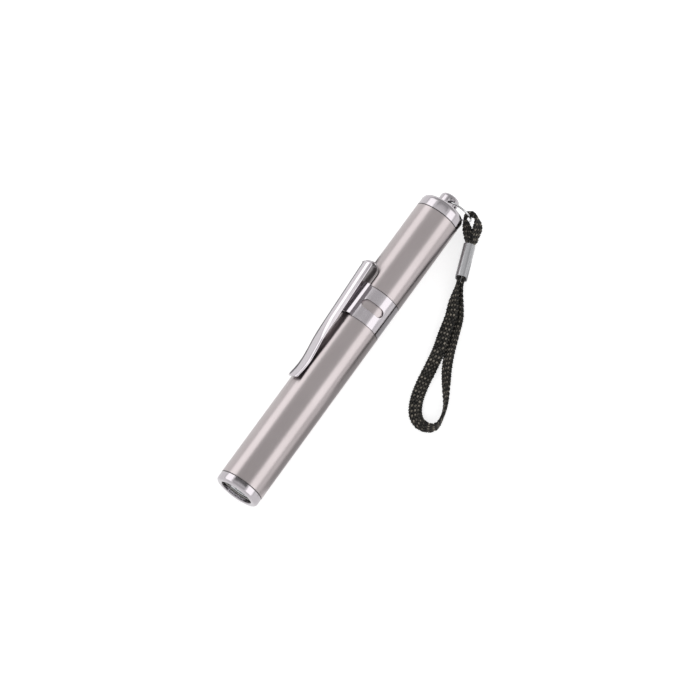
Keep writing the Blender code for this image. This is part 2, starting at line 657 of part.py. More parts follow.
def strip_outline(middle_line):
    """Both sides of a bent strip of the clip's thickness."""
    sides = ([], [])
    for i, (x, y) in enumerate(middle_line):
        before = middle_line[max(i - 1, 0)]
        after = middle_line[min(i + 1, len(middle_line) - 1)]
        dx, dy = after[0] - before[0], after[1] - before[1]
        scale = CLIP_THICKNESS / 2 / hypot(dx, dy)
        sides[0].append((x - dy * scale, y + dx * scale))
        sides[1].append((x + dy * scale, y - dx * scale))
    return sides[0] + sides[1][::-1]


def clip():
    """Spring-steel clip: a curved base under the band, a bend, and an arm back along the barrel."""
    along = clip_plane(Vector((1, 0, 0)), CLIP_OUT, (0, 0, AXIS_HEIGHT))
    bend_centre = (CLIP_BEND_AT, CLIP_MIDDLE_RADIUS + CLIP_BEND_RADIUS)
    bend = arc(bend_centre, CLIP_BEND_RADIUS, -pi / 2, -3 * pi / 2, END_STEPS)
    inner_leg = [(BAND_TAIL_EDGE, CLIP_MIDDLE_RADIUS)]
    strip = plate("clip_bend", [strip_outline(inner_leg + bend)], CLIP_WIDTH, along, cutters)

    up = pi / 2
    half = CLIP_BASE_HALF_ANGLE
    outline = arc((0, 0), CLIP_OUTER_RADIUS, up - half, up + half, END_STEPS)
    outline += arc((0, 0), CLIP_INNER_RADIUS, up + half, up - half, END_STEPS)
    base_length = BAND_HEAD_EDGE - CLIP_BEND_AT
    middle = (BAND_HEAD_EDGE + CLIP_BEND_AT) / 2
    across = clip_plane(CLIP_SIDE, CLIP_OUT, (middle, 0, AXIS_HEIGHT))
    base = plate("clip_base", [outline], base_length, across, parts)
    finish(base, SPRING_STEEL)
    join(base, make_cutter(strip))

    knee = (BARREL_FRONT - CLIP_KNEE_BACK, BARREL_RADIUS + CLIP_KNEE_RISE)
    contact_radius = BARREL_RADIUS + CLIP_CONTACT_GAP + CLIP_THICKNESS / 2
    contact = (BARREL_FRONT - CLIP_CONTACT_BACK, contact_radius)
    toe = (BARREL_FRONT - CLIP_TOE_BACK, BARREL_RADIUS + CLIP_TOE_RISE)
    top = bend_centre[1] + CLIP_BEND_RADIUS
    start = (CLIP_BEND_AT + SLIDE_FIT, top)
    run = smooth_run([start, ((start[0] + knee[0]) / 2, (top + knee[1]) / 2), knee, contact, toe], ARM_SPANS)
    arm = plate("clip_arm", [strip_outline(run)], CLIP_WIDTH, along, parts)
    finish(arm, SPRING_STEEL)


def lane(side, shares):
    """Points of the strap inside the ferrule, at shares of its length, in one of its two lanes."""
    along = Vector((cos(FERRULE_TURN), sin(FERRULE_TURN), 0.0))
    across = Vector((-sin(FERRULE_TURN), cos(FERRULE_TURN), 0.0))
    middle = FERRULE_CENTRE + across * side * (STRAP_THICKNESS + STRAP_LANE_GAP) / 2
    return [(*(middle + along * FERRULE_LENGTH * share), 0.0) for share in shares]


def strap_route():
    """From the ferrule round the split ring, back through the ferrule, round the hand loop and in again."""

    def from_ring(route):
        return [(*(RING_FAR_SIDE + Vector((x, y, z)) * MM), lean) for x, y, z, lean in route]

    route = lane(1, (-STRAP_END_SHARE, -0.25, -0.5)) + from_ring(EYE_ROUTE)
    route += lane(-1, (-0.5, -0.25, 0.0, 0.25, 0.5)) + from_ring(LOOP_ROUTE)
    return route + lane(1, (0.5, 0.25, STRAP_END_SHARE))


def strap():
    """Ferrule and flat braid: the braid's section stands on edge where its lean is 0."""
    turn = Matrix.Rotation(FERRULE_TURN, 4, "Z")
    half_across = STRAP_THICKNESS + STRAP_LANE_GAP / 2 + STRAP_FIT
    half_up = STRAP_WIDTH / 2 + STRAP_FIT
    inner = rounded(half_across, half_up, FERRULE_CORNER)
    outer_corner = FERRULE_CORNER + FERRULE_WALL
    outer = rounded(half_across + FERRULE_WALL, half_up + FERRULE_WALL, outer_corner)
    stand = Matrix((Vector((0, 1, 0)), Vector((0, 0, 1)), Vector((1, 0, 0)))).transposed().to_4x4()
    frame = Matrix.Translation(FERRULE_CENTRE) @ turn @ stand
    finish(plate("strap_ferrule", [outer, inner], FERRULE_LENGTH, frame, parts), FERRULE_ALUMINIUM)

    section = bpy.data.curves.new("strap_section", "CURVE")
    section.dimensions = "2D"
    spline = section.splines.new("POLY")
    outline = rounded(STRAP_THICKNESS / 2, STRAP_WIDTH / 2, STRAP_EDGE, 1)[::-1]
    spline.points.add(len(outline) - 1)
    for point, (x, y) in zip(spline.points, outline):
        point.co = (x, y, 0.0, 1.0)
    spline.use_cyclic_u = True
    guide = place(bpy.data.objects.new("strap_section", section), cutters)
    make_cutter(guide)

    curve = bpy.data.curves.new("wrist_strap", "CURVE")
    curve.dimensions = "3D"
    curve.twist_mode = "Z_UP"
    curve.bevel_mode = "OBJECT"
    curve.bevel_object = guide
    curve.use_fill_caps = True
    run = even_run(smooth_run(strap_route(), RUN_SPANS), STRAP_STEP)
    spline = curve.splines.new("POLY")
    spline.points.add(len(run) - 1)
    for point, (x, y, z, lean) in zip(spline.points, run):
        point.co = (x, y, z, 1.0)
        point.tilt = radians(lean)
    braid = place(bpy.data.objects.new("wrist_strap", curve), parts)
    finish(braid, BLACK_BRAID)


def rounded(half_x, half_y, radius, steps=3):
    """A rectangle with round corners."""
    x, y = half_x - radius, half_y - radius
    corners = ((x, y), (-x, y), (-x, -y), (x, -y))
    outline = []
    for quarter, corner in enumerate(corners):
        outline += arc(corner, radius, quarter * pi / 2, (quarter + 1) * pi / 2, steps)
    return outline


def even_run(points, step):
    """Points a steady distance apart along a fine polyline, keeping its two ends."""
    kept = [points[0]]
    travelled = 0.0
    for before, after in zip(points, points[1:]):
        travelled += hypot(*(b - a for a, b in zip(before[:3], after[:3])))
        if travelled >= step:
            kept.append(after)
            travelled = 0.0
    kept[-1] = points[-1]
    return kept


barrel()
head()
cells()
tail()
split_ring()
clip_band()
clip()
strap()
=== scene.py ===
"""Looks of a slim egg-candling pen light: satin barrel, polished ends, pocket clip and braided strap."""

from math import cos, pi, radians, sin, sqrt

import bpy
import numpy as np
from mathutils import Matrix, Vector


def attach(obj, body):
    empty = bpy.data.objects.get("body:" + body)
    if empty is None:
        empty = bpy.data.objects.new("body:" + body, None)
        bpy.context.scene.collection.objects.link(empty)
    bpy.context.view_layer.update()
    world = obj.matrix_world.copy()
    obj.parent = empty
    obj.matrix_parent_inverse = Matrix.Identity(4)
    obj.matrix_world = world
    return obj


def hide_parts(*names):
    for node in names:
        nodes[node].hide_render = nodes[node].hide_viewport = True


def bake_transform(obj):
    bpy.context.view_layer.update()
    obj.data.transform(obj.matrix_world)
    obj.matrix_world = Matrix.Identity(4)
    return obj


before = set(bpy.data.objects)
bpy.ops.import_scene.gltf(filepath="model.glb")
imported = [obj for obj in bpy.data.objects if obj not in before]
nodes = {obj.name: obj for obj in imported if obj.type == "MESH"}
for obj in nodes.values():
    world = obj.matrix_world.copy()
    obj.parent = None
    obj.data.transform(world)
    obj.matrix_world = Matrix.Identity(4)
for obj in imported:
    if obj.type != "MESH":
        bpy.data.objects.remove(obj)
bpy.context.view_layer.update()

# Barrel: a drawn stainless tube with a shallow groove for the clip's band.
# It is turned and rubbed round with fine abrasive, which leaves a soft satin face.
MM = 0.001
SATIN_STEEL = "B0A8A9"
SATIN_STEEL_WARM = "A8A0A0"
RUBBING_LINE = 0.15 * MM
RUBBING_RUN = 16.7 * MM
RUBBING_PATCH = 14.0 * MM


def linear(code):
    """An sRGB hex colour as linear RGBA."""
    channels = [int(code[i : i + 2], 16) / 255 for i in (0, 2, 4)]
    return (*[c / 12.92 if c <= 0.04045 else ((c + 0.055) / 1.055) ** 2.4 for c in channels], 1.0)


def add(material, kind, inputs=None, **settings):
    """Add a node, or find it by name: settings are its own values, inputs are constants or other outputs."""
    tree = material.node_tree
    made = tree.nodes.get(kind) or tree.nodes.new(kind)
    for name, value in settings.items():
        setattr(made, name, value)
    for name, value in (inputs or {}).items():
        if isinstance(value, bpy.types.NodeSocket):
            tree.links.new(value, made.inputs[name])
        else:
            made.inputs[name].default_value = value
    return made


def new_material(name):
    material = bpy.data.materials.new(name)
    material.use_nodes = True
    return material


def dress(piece, material, sharp=35):
    """Give a piece its material, and smooth faces except across edges sharper than the angle in degrees."""
    piece.data.materials.clear()
    piece.data.materials.append(material)
    weld = piece.modifiers.new("weld", "WELD")
    weld.merge_threshold = 0.001 * MM
    piece.data.shade_smooth()
    edges = piece.modifiers.new("edges", "EDGE_SPLIT")
    edges.split_angle = radians(sharp)


# Satin stainless steel: rubbing lines round the barrel spread what it reflects along the barrel and leave it
# crisp across, and faint differences in the rubbing change that from place to place.
# Real lines are about 0.02 mm apart and too fine to show, so they are drawn 0.15 mm apart.
satin_steel = new_material("satin_stainless_steel")
place = add(satin_steel, "ShaderNodeTexCoord").outputs["Object"]
patches = add(satin_steel, "ShaderNodeTexNoise", {"Vector": place, "Scale": 1 / RUBBING_PATCH, "Detail": 3.0})
tone = add(
    satin_steel,
    "ShaderNodeMix",
    {"Factor": patches.outputs["Fac"], "A": linear(SATIN_STEEL), "B": linear(SATIN_STEEL_WARM)},
    data_type="RGBA",
)
stretched = add(
    satin_steel,
    "ShaderNodeMapping",
    {"Vector": place, "Scale": (1 / RUBBING_LINE, 1 / RUBBING_RUN, 1 / RUBBING_RUN)},
)
lines = add(
    satin_steel,
    "ShaderNodeTexNoise",
    {"Vector": stretched.outputs["Vector"], "Scale": 1.0, "Detail": 2.0},
)
blur = add(
    satin_steel,
    "ShaderNodeMapRange",
    {"Value": patches.outputs["Fac"], "To Min": 0.31, "To Max": 0.37},
)
round_barrel = add(satin_steel, "ShaderNodeTangent", direction_type="RADIAL", axis="X")
relief = add(
    satin_steel,
    "ShaderNodeBump",
    {"Height": lines.outputs["Fac"], "Strength": 0.03, "Distance": 0.01 * MM},
)
add(
    satin_steel,
    "Principled BSDF",
    {
        "Base Color": tone.outputs["Result"],
        "Metallic": 1.0,
        "Roughness": blur.outputs["Result"],
        "Anisotropic": 0.85,
        "Anisotropic Rotation": 0.25,
        "Tangent": round_barrel.outputs["Tangent"],
        "Normal": relief.outputs["Normal"],
    },
)
dress(nodes["barrel_tube"], satin_steel)

# Cells and liner: two AAA cells nose to tail, wrapped in shrink film, in a thin sleeve of extruded plastic
# that keeps them off the barrel. They are sealed in by the bezel and the tail cap.
CELL_FILM = "3A506E"
LINER_MILKY = "C9C8C0"
FILM_CREASE = 3.0 * MM
SLEEVE_HAZE = 5.0 * MM

# Shrunk PVC film: plain blue and glossy, with the low creases that it takes as it shrinks.
film = new_material("pvc_shrink_film")
place = add(film, "ShaderNodeTexCoord").outputs["Object"]
creases = add(film, "ShaderNodeTexNoise", {"Vector": place, "Scale": 1 / FILM_CREASE, "Detail": 2.0})
relief = add(
    film,
    "ShaderNodeBump",
    {"Height": creases.outputs["Fac"], "Strength": 0.15, "Distance": 0.05 * MM},
)
add(
    film,
    "Principled BSDF",
    {"Base Color": linear(CELL_FILM), "Roughness": 0.35, "IOR": 1.54, "Normal": relief.outputs["Normal"]},
)
dress(nodes["battery_front"], film)
dress(nodes["battery_rear"], film)

# Extruded polypropylene: a milky, waxy white that is a little duller in some places than in others.
sleeve = new_material("polypropylene_sleeve")
place = add(sleeve, "ShaderNodeTexCoord").outputs["Object"]
haze = add(sleeve, "ShaderNodeTexNoise", {"Vector": place, "Scale": 1 / SLEEVE_HAZE})
dull = add(sleeve, "ShaderNodeMapRange", {"Value": haze.outputs["Fac"], "To Min": 0.45, "To Max": 0.6})
add(
    sleeve,
    "Principled BSDF",
    {"Base Color": linear(LINER_MILKY), "Roughness": dull.outputs["Result"], "IOR": 1.49},
)
dress(nodes["battery_liner"], sleeve)

# Head bezel and tail cap: turned stainless, mirror polished on a wheel, and screwed into the barrel's ends.
# The cap has a round knob drilled across for the split ring.
POLISHED_STEEL = "B1ACB0"
BUFFING_SWIRL = 1.2 * MM

# Buffed stainless steel: a clear, slightly soft mirror, with a faint unevenness left by the buffing wheel.
polished_steel = new_material("buffed_stainless_steel")
place = add(polished_steel, "ShaderNodeTexCoord").outputs["Object"]
swirl = add(
    polished_steel,
    "ShaderNodeTexNoise",
    {"Vector": place, "Scale": 1 / BUFFING_SWIRL, "Detail": 3.0},
)
blur = add(
    polished_steel,
    "ShaderNodeMapRange",
    {"Value": swirl.outputs["Fac"], "To Min": 0.11, "To Max": 0.17},
)
relief = add(
    polished_steel,
    "ShaderNodeBump",
    {"Height": swirl.outputs["Fac"], "Strength": 0.08, "Distance": 0.02 * MM},
)
add(
    polished_steel,
    "Principled BSDF",
    {
        "Base Color": linear(POLISHED_STEEL),
        "Metallic": 1.0,
        "Roughness": blur.outputs["Result"],
        "Normal": relief.outputs["Normal"],
    },
)
dress(nodes["head_bezel"], polished_steel, sharp=40)
dress(nodes["tail_cap"], polished_steel, sharp=40)

# Seals and lens gasket: two dark rubber rings pressed into the seams between the barrel and its ends,
# and a grey silicone ring between the bezel's lip and the lens. All three are moulded.
RUBBER_DARK = "4A4646"
SILICONE_GREY = "A8A6A3"
RUBBER_GRAIN = 0.2 * MM

# Moulded nitrile rubber: dull and dark, with a fine grain from the mould.
# The real grain is about 0.05 mm and too fine to show, so it is drawn at 0.2 mm.
rubber = new_material("moulded_nitrile_rubber")
place = add(rubber, "ShaderNodeTexCoord").outputs["Object"]
grain = add(rubber, "ShaderNodeTexNoise", {"Vector": place, "Scale": 1 / RUBBER_GRAIN})
relief = add(
    rubber,
    "ShaderNodeBump",
    {"Height": grain.outputs["Fac"], "Strength": 0.2, "Distance": 0.02 * MM},
)
add(
    rubber,
    "Principled BSDF",
    {"Base Color": linear(RUBBER_DARK), "Roughness": 0.6, "IOR": 1.52, "Normal": relief.outputs["Normal"]},
)
dress(nodes["head_seal"], rubber)
dress(nodes["tail_seal"], rubber)

# Moulded silicone: a soft, pale grey, with a gloss that the same grain makes uneven.
silicone = new_material("moulded_silicone")
place = add(silicone, "ShaderNodeTexCoord").outputs["Object"]
grain = add(silicone, "ShaderNodeTexNoise", {"Vector": place, "Scale": 1 / RUBBER_GRAIN})
dull = add(silicone, "ShaderNodeMapRange", {"Value": grain.outputs["Fac"], "To Min": 0.5, "To Max": 0.65})
add(
    silicone,
    "Principled BSDF",
    {"Base Color": linear(SILICONE_GREY), "Roughness": dull.outputs["Result"], "IOR": 1.41},
)
dress(nodes["lens_gasket"], silicone)

# Lens: a flat disc of clear acrylic, cut from sheet.
# It is dropped in behind the gasket and held there by the reflector's rim.
ACRYLIC_CLEAR = "F6F8F9"
LENS_WIPE = 2.5 * MM

# Clear acrylic: see-through and glossy, with a trace of haze where it was wiped.
acrylic = new_material("clear_acrylic")
place = add(acrylic, "ShaderNodeTexCoord").outputs["Object"]
wipe = add(acrylic, "ShaderNodeTexNoise", {"Vector": place, "Scale": 1 / LENS_WIPE})
clear = add(acrylic, "ShaderNodeMapRange", {"Value": wipe.outputs["Fac"], "To Min": 0.01, "To Max": 0.04})
add(
    acrylic,
    "Principled BSDF",
    {
        "Base Color": linear(ACRYLIC_CLEAR),
        "Roughness": clear.outputs["Result"],
        "IOR": 1.49,
        "Transmission Weight": 1.0,
    },
)
dress(nodes["lens"], acrylic)

# Reflector: a moulded plastic cup with a skin of aluminium laid on in vacuum.
# Its rim meets the lens, and its neck stands on the board that carries the light source.
REFLECTOR_SILVER = "EDEDEE"
REFLECTOR_PEEL = 0.7 * MM

# Vacuum-aluminised plastic: a bright mirror, slightly rippled like orange peel by the moulding under it.
mirror_skin = new_material("vacuum_aluminised_plastic")
place = add(mirror_skin, "ShaderNodeTexCoord").outputs["Object"]
peel = add(mirror_skin, "ShaderNodeTexNoise", {"Vector": place, "Scale": 1 / REFLECTOR_PEEL})
relief = add(
    mirror_skin,
    "ShaderNodeBump",
    {"Height": peel.outputs["Fac"], "Strength": 0.25, "Distance": 0.05 * MM},
)
add(
    mirror_skin,
    "Principled BSDF",
    {
        "Base Color": linear(REFLECTOR_SILVER),
        "Metallic": 1.0,
        "Roughness": 0.05,
        "Normal": relief.outputs["Normal"],
    },
)
dress(nodes["reflector"], mirror_skin)

# Light source: a square emitter with a round dome of phosphor, soldered to a white metal-core board.
# The reflector's neck stands on the board, round the emitter.
PHOSPHOR_YELLOW = "E2C24A"
SOLDER_MASK_WHITE = "E9E8E2"
PHOSPHOR_GRAIN = 0.1 * MM
MASK_GRAIN = 0.4 * MM

# Phosphor in silicone: an opaque, waxy yellow. Its powder is about 0.02 mm and is drawn at 0.1 mm to show.
phosphor = new_material("silicone_phosphor")
place = add(phosphor, "ShaderNodeTexCoord").outputs["Object"]
powder = add(phosphor, "ShaderNodeTexNoise", {"Vector": place, "Scale": 1 / PHOSPHOR_GRAIN})
relief = add(
    phosphor,
    "ShaderNodeBump",
    {"Height": powder.outputs["Fac"], "Strength": 0.1, "Distance": 0.01 * MM},
)
add(
    phosphor,
    "Principled BSDF",
    {
        "Base Color": linear(PHOSPHOR_YELLOW),
        "Roughness": 0.35,
        "IOR": 1.41,
        "Normal": relief.outputs["Normal"],
    },
)
dress(nodes["led_emitter"], phosphor)

# White solder mask: an even printed white with a patchy low gloss.
# The print's grain is about 0.1 mm and is drawn at 0.4 mm to show.
white_mask = new_material("white_solder_mask")
place = add(white_mask, "ShaderNodeTexCoord").outputs["Object"]
print_grain = add(white_mask, "ShaderNodeTexNoise", {"Vector": place, "Scale": 1 / MASK_GRAIN})
dull = add(
    white_mask,
    "ShaderNodeMapRange",
    {"Value": print_grain.outputs["Fac"], "To Min": 0.35, "To Max": 0.5},
)
add(
    white_mask,
    "Principled BSDF",
    {"Base Color": linear(SOLDER_MASK_WHITE), "Roughness": dull.outputs["Result"], "IOR": 1.5},
)
dress(nodes["led_board"], white_mask)

# Driver and contacts: a lacquered glass-fibre board with one moulded chip, a brass ring that holds the stack
# in the head, and a coiled steel spring at each end of the cells, the rear one in a brass seat.
BOARD_GREEN = "1F5A38"
EPOXY_BLACK = "202022"
BRASS_YELLOW = "C9AC62"
SPRING_BRIGHT = "BDBDBE"
BOARD_WEAVE = 0.5 * MM
EPOXY_GRAIN = 0.1 * MM
TOOL_MARK = 0.3 * MM
WIRE_STREAK = 0.4 * MM

# Lacquered glass fibre: glossy green, with the cloth's weave showing faintly through the lacquer.
board = new_material("lacquered_glass_fibre")
place = add(board, "ShaderNodeTexCoord").outputs["Object"]
weave = add(board, "ShaderNodeTexNoise", {"Vector": place, "Scale": 1 / BOARD_WEAVE})
relief = add(
    board,
    "ShaderNodeBump",
    {"Height": weave.outputs["Fac"], "Strength": 0.1, "Distance": 0.02 * MM},
)
add(
    board,
    "Principled BSDF",
    {"Base Color": linear(BOARD_GREEN), "Roughness": 0.3, "IOR": 1.52, "Normal": relief.outputs["Normal"]},
)
dress(nodes["driver_board"], board)

# Moulded epoxy: matt black and faintly sandy.
# The mould's grain is about 0.03 mm and is drawn at 0.1 mm to show.
epoxy = new_material("moulded_epoxy")
place = add(epoxy, "ShaderNodeTexCoord").outputs["Object"]
sand = add(epoxy, "ShaderNodeTexNoise", {"Vector": place, "Scale": 1 / EPOXY_GRAIN})
relief = add(
    epoxy,
    "ShaderNodeBump",
    {"Height": sand.outputs["Fac"], "Strength": 0.2, "Distance": 0.01 * MM},
)
add(
    epoxy,
    "Principled BSDF",
    {"Base Color": linear(EPOXY_BLACK), "Roughness": 0.55, "IOR": 1.55, "Normal": relief.outputs["Normal"]},
)
dress(nodes["driver_chip"], epoxy)

# Turned brass: a soft yellow shine, uneven from the tool.
# The tool's marks are about 0.1 mm apart and are drawn at 0.3 mm to show.
brass = new_material("turned_brass")
place = add(brass, "ShaderNodeTexCoord").outputs["Object"]
tool_marks = add(brass, "ShaderNodeTexNoise", {"Vector": place, "Scale": 1 / TOOL_MARK})
blur = add(brass, "ShaderNodeMapRange", {"Value": tool_marks.outputs["Fac"], "To Min": 0.2, "To Max": 0.32})
add(
    brass,
    "Principled BSDF",
    {"Base Color": linear(BRASS_YELLOW), "Metallic": 1.0, "Roughness": blur.outputs["Result"]},
)
dress(nodes["board_retainer"], brass)
dress(nodes["tail_spring_seat"], brass)

# Nickel-plated spring wire: bright, with duller streaks from the drawing die.
# The streaks are finer than 0.1 mm and are drawn at 0.4 mm to show.
bright_wire = new_material("nickel_plated_spring_wire")
place = add(bright_wire, "ShaderNodeTexCoord").outputs["Object"]
streaks = add(bright_wire, "ShaderNodeTexNoise", {"Vector": place, "Scale": 1 / WIRE_STREAK})
blur = add(
    bright_wire,
    "ShaderNodeMapRange",
    {"Value": streaks.outputs["Fac"], "To Min": 0.12, "To Max": 0.22},
)
add(
    bright_wire,
    "Principled BSDF",
    {"Base Color": linear(SPRING_BRIGHT), "Metallic": 1.0, "Roughness": blur.outputs["Result"]},
)
for spring in ("front_contact_spring", "tail_spring"):
    dress(nodes[spring], bright_wire, sharp=60)

# Split ring: one turn of plated wire, wound on a mandrel and threaded through the knob's cross hole.
# It is the same bright wire as the contact springs.
dress(nodes["split_ring"], bright_wire, sharp=60)

# Clip band: a strip of stainless with a long slot, rolled to a C and snapped into the barrel's groove.
# It is buffed like the ends, and its raised step holds the clip's base down.
dress(nodes["clip_band"], polished_steel, sharp=30)

# Pocket clip: one strip of spring steel, crowned along its length, bent back on itself at the tail side.
# Its base lies on the barrel under the band, and its arm springs against the barrel near the toe.
AXIS_HEIGHT = 6.973 * MM
CLIP_LEAN = radians(47)
CLIP_THICKNESS = 0.55 * MM
CLIP_ARM_WIDTH = 4.6 * MM
CLIP_BASE_WIDTH = 5.6 * MM
CLIP_BASE_RADIUS = 7.4 * MM
CLIP_BASE_HEAD = -6.2 * MM
CLIP_BASE_STEPS = 6
CLIP_BEND_AT = -21.5 * MM
CLIP_BEND_RADIUS = 1.5 * MM
CLIP_BEND_WIDTH = 3.4 * MM
CLIP_BEND_TAPER = 3.0 * MM
CLIP_BEND_STEPS = 12
CLIP_STEP = 0.5 * MM
CLIP_FACE_POINTS = 11
CLIP_STEEL = "BDB8BC"
# The base's darker grey is painted shade, as if from the arm over it.
SHADED_BASE_STEEL = "8B8686"
RUN_SPANS = 40

# Points along the arm in millimetres: the place along the barrel, and the distance from the barrel's axis.
CLIP_ARM = [(-9.5, 9.73), (1.3, 9.05), (12.0, 7.575), (18.5, 8.1)]

# The arm's crown: how far the edges roll down, the share of it by which the middle rises, how late it curves,
# where along the barrel it flattens, and what is left of it at the toe, whose corners are rounded.
CLIP_ROLL = 0.9 * MM
CLIP_CROWN_RISE = 0.35
CLIP_CROWN_POWER = 2.5
CLIP_FLAT_FROM = -2.0 * MM
CLIP_FLAT_BY = 5.0 * MM
CLIP_TOE_CROWN = 0.3
CLIP_TOE_ROUND = 0.3 * MM


def smooth_run(points, step):
    """A smooth line through points of any dimension, in steps of an even length in space."""
    points = np.array(points, float)
    line = np.vstack([2 * points[0] - points[1], points, 2 * points[-1] - points[-2]])
    share = np.linspace(0, 1, RUN_SPANS, endpoint=False)[:, None]
    fine = []
    for a, b, c, d in zip(line, line[1:], line[2:], line[3:]):
        bend = 2 * a - 5 * b + 4 * c - d + share * (3 * (b - c) + d - a)
        fine.append(b + share * (c - a + share * bend) / 2)
    fine = np.vstack([*fine, points[-1:]])
    room = min(points.shape[1], 3)
    travelled = np.concatenate([[0], np.cumsum(np.linalg.norm(np.diff(fine[:, :room], axis=0), axis=1))])
    stations = np.linspace(0, travelled[-1], max(2, round(travelled[-1] / step) + 1))
    return np.column_stack([np.interp(stations, travelled, column) for column in fine.T]), stations


def mesh_piece(name, vertices, faces):
    mesh = bpy.data.meshes.new(name)
    mesh.from_pydata([tuple(v) for v in vertices], [], [tuple(f) for f in faces])
    mesh.validate()
    piece = bpy.data.objects.new(name, mesh)
    bpy.context.scene.collection.objects.link(piece)
    return piece


def tube_faces(rings, sides):
    """Quads of a closed section of so many sides swept over so many rings, with a face over each end."""
    faces = []
    for ring in range(rings - 1):
        here = ring * sides
        ahead = here + sides
        for side in range(sides):
            after = (side + 1) % sides
            faces.append((here + side, here + after, ahead + after, ahead + side))
    last = (rings - 1) * sides
    return faces + [tuple(range(sides))[::-1], tuple(range(last, last + sides))]


clip_out = Vector((0, -sin(CLIP_LEAN), cos(CLIP_LEAN)))
clip_side = clip_out.cross(Vector((1, 0, 0)))
bend_from = CLIP_BASE_HEAD - CLIP_BEND_AT
bend_to = bend_from + pi * CLIP_BEND_RADIUS
clip_line = []
for i in range(CLIP_BASE_STEPS):
    clip_line.append((CLIP_BASE_HEAD - bend_from * i / CLIP_BASE_STEPS, CLIP_BASE_RADIUS))
for i in range(CLIP_BEND_STEPS + 1):
    turn = -pi / 2 - pi * i / CLIP_BEND_STEPS
    bend_radius = CLIP_BASE_RADIUS + CLIP_BEND_RADIUS * (1 + sin(turn))
    clip_line.append((CLIP_BEND_AT + CLIP_BEND_RADIUS * cos(turn), bend_radius))
clip_line += [(x * MM, radius * MM) for x, radius in CLIP_ARM]
clip_run, clip_stations = smooth_run(clip_line, CLIP_STEP)
clip_vertices = []
base_to_arm = []
for i, (x, radius) in enumerate(clip_run):
    before, after = clip_run[max(i - 1, 0)], clip_run[min(i + 1, len(clip_run) - 1)]
    tangent = (after - before) / np.linalg.norm(after - before)
    normal = np.array((-tangent[1], tangent[0]))
    share = min(max((clip_stations[i] - bend_from) / (bend_to - bend_from), 0.0), 1.0)
    width = CLIP_BASE_WIDTH if share < 0.5 else CLIP_ARM_WIDTH
    from_bend = abs(clip_stations[i] - (bend_from + bend_to) / 2)
    if from_bend < CLIP_BEND_TAPER:
        width -= (width - CLIP_BEND_WIDTH) * (1 + cos(pi * from_bend / CLIP_BEND_TAPER)) / 2
    flattened = min(max((x - CLIP_FLAT_FROM) / (CLIP_FLAT_BY - CLIP_FLAT_FROM), 0.0), 1.0)
    roll = CLIP_ROLL * (1 - (1 - CLIP_TOE_CROWN) * flattened)
    to_end = clip_stations[-1] - clip_stations[i]
    if to_end < CLIP_TOE_ROUND:
        width -= 2 * (CLIP_TOE_ROUND - sqrt(max(CLIP_TOE_ROUND**2 - (CLIP_TOE_ROUND - to_end) ** 2, 0.0)))
    for face in (1, -1):
        for j in range(CLIP_FACE_POINTS):
            across = face * width * (j / (CLIP_FACE_POINTS - 1) - 0.5)
            hug = CLIP_BASE_RADIUS - sqrt(CLIP_BASE_RADIUS**2 - across**2)
            crown = roll * (CLIP_CROWN_RISE - abs(2 * across / CLIP_ARM_WIDTH) ** CLIP_CROWN_POWER)
            rise = face * CLIP_THICKNESS / 2 + (1 - share) * hug + share * crown
            spot = (x + normal[0] * rise, radius + normal[1] * rise)
            base_to_arm.append(share)
            clip_vertices.append(Vector((spot[0], 0, AXIS_HEIGHT)) + clip_out * spot[1] + clip_side * across)
pocket_clip = mesh_piece("pocket_clip", clip_vertices, tube_faces(len(clip_run), 2 * CLIP_FACE_POINTS))
pocket_clip.data.attributes.new("base_to_arm", "FLOAT", "POINT").data.foreach_set("value", base_to_arm)

# Buffed spring steel: bright on the arm, a little paler than the polished ends. The base, which the buffing
# wheel can't reach under the arm, is duller, and its darker grey colour is painted shade from the arm over
# it.
spring_steel = new_material("buffed_spring_steel")
place = add(spring_steel, "ShaderNodeTexCoord").outputs["Object"]
swirl = add(spring_steel, "ShaderNodeTexNoise", {"Vector": place, "Scale": 1 / BUFFING_SWIRL, "Detail": 3.0})
arm_share = add(spring_steel, "ShaderNodeAttribute", attribute_name="base_to_arm").outputs["Fac"]
# The base takes the darker grey as painted shade and a rougher finish, and the arm stays bright.
tone = add(
    spring_steel,
    "ShaderNodeMix",
    {"Factor": arm_share, "A": linear(SHADED_BASE_STEEL), "B": linear(CLIP_STEEL)},
    data_type="RGBA",
)
blur = add(spring_steel, "ShaderNodeMapRange", {"Value": arm_share, "To Min": 0.35, "To Max": 0.12})
relief = add(
    spring_steel,
    "ShaderNodeBump",
    {"Height": swirl.outputs["Fac"], "Strength": 0.08, "Distance": 0.02 * MM},
)
add(
    spring_steel,
    "Principled BSDF",
    {
        "Base Color": tone.outputs["Result"],
        "Metallic": 1.0,
        "Roughness": blur.outputs["Result"],
        "Normal": relief.outputs["Normal"],
    },
)
pocket_clip.data.materials.append(spring_steel)
pocket_clip.data.shade_smooth()
round_edges = pocket_clip.modifiers.new("round_edges", "SUBSURF")
round_edges.levels = 1
round_edges.render_levels = 1
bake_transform(pocket_clip)
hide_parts("clip_base", "clip_arm")

# Wrist strap: a flat tubular braid of black polyester, threaded round the split ring, with both ends
# crimped in the ferrule. It stands on edge near the ferrule and turns flat round the hand loop.
STRAP_WIDTH = 3.9 * MM
STRAP_THICKNESS = 1.15 * MM
STRAP_STRANDS = 8
STRAP_LAY = 11.8 * MM
STRAP_STEP = 0.3 * MM
STRAND_WIDTH = 0.74 * MM
STRAND_HEIGHT = 0.44 * MM
STRAND_SIDES = 6
CORE_THICKNESS = 0.4 * MM
FILAMENT = 0.12 * MM
# The size of the noise patches that break up the painted highlights, then the yarn's black and the painted
# highlight's grey.
HIGHLIGHT_PATCH_SIZE = 1.1 * MM
BRAID_BLACK = "040404"
BRAID_HIGHLIGHT_GREY = "A8A093"

